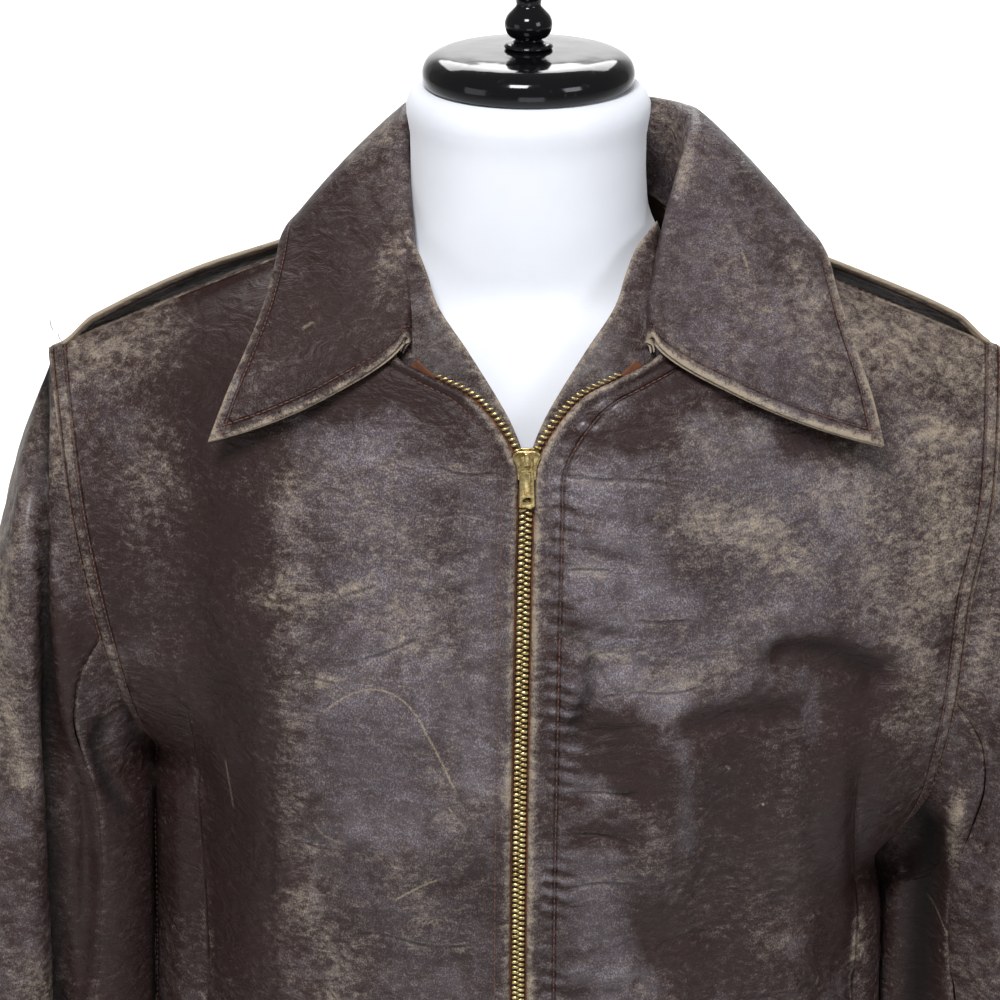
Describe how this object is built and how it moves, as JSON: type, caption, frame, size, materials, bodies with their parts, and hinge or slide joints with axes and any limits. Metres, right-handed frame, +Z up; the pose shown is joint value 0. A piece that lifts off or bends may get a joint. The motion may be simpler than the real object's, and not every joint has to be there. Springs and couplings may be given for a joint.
{
  "type": "worn leather coat on a limbless dress form",
  "caption": "Zip-front worn leather coat with a long pointed collar and shoulder straps, hanging open-necked on a white dress form with a pole stand.",
  "frame": {"origin": "middle of the stand's foot, on the floor", "axes": "+Z up, the coat faces -Y, +X is the wearer's left"},
  "size_m": [0.68, 0.36, 1.5691],
  "materials": {
    "coat_leather": "dark red-brown finished leather, glossy where smooth, worn to tan on edges and ridges",
    "facing_leather": "same leather, cleaner and darker, inside the opening",
    "rust_tape": "woven rust-brown zip tape",
    "brass": "aged yellow brass",
    "form_cover": "smooth white jersey over the dress form",
    "black_gloss": "black gloss lacquer",
    "stand_black": "black painted metal"
  },
  "bodies": {
    "coat": {"back": "coat_leather", "front_left": "coat_leather", "sleeve_left_top": "coat_leather", "sleeve_left_under": "coat_leather", "zip_tape_left": "rust_tape", "zip_teeth_left": "brass", "facing_left": "facing_leather", "shoulder_strap_left": "coat_leather", "front_right": "coat_leather", "sleeve_right_top": "coat_leather", "sleeve_right_under": "coat_leather", "zip_tape_right": "rust_tape", "zip_teeth_right": "brass", "facing_right": "facing_leather", "shoulder_strap_right": "coat_leather", "collar_upper": "coat_leather", "collar_under": "coat_leather", "zip_slider": "brass", "form_torso": "form_cover", "form_neck_cap": "black_gloss", "form_finial": "black_gloss", "stand_pole": "stand_black", "stand_base": "stand_black"},
    "pull_tab": {"zip_pull": "brass"}
  },
  "joints": [
    {"name": "pull_tab_swing", "type": "hinge", "parent": "coat", "child": "pull_tab", "pos_m": [0, -0.11783, 1.36334], "axis": [-1, 0, 0], "range_deg": [0, 160]}
  ]
}
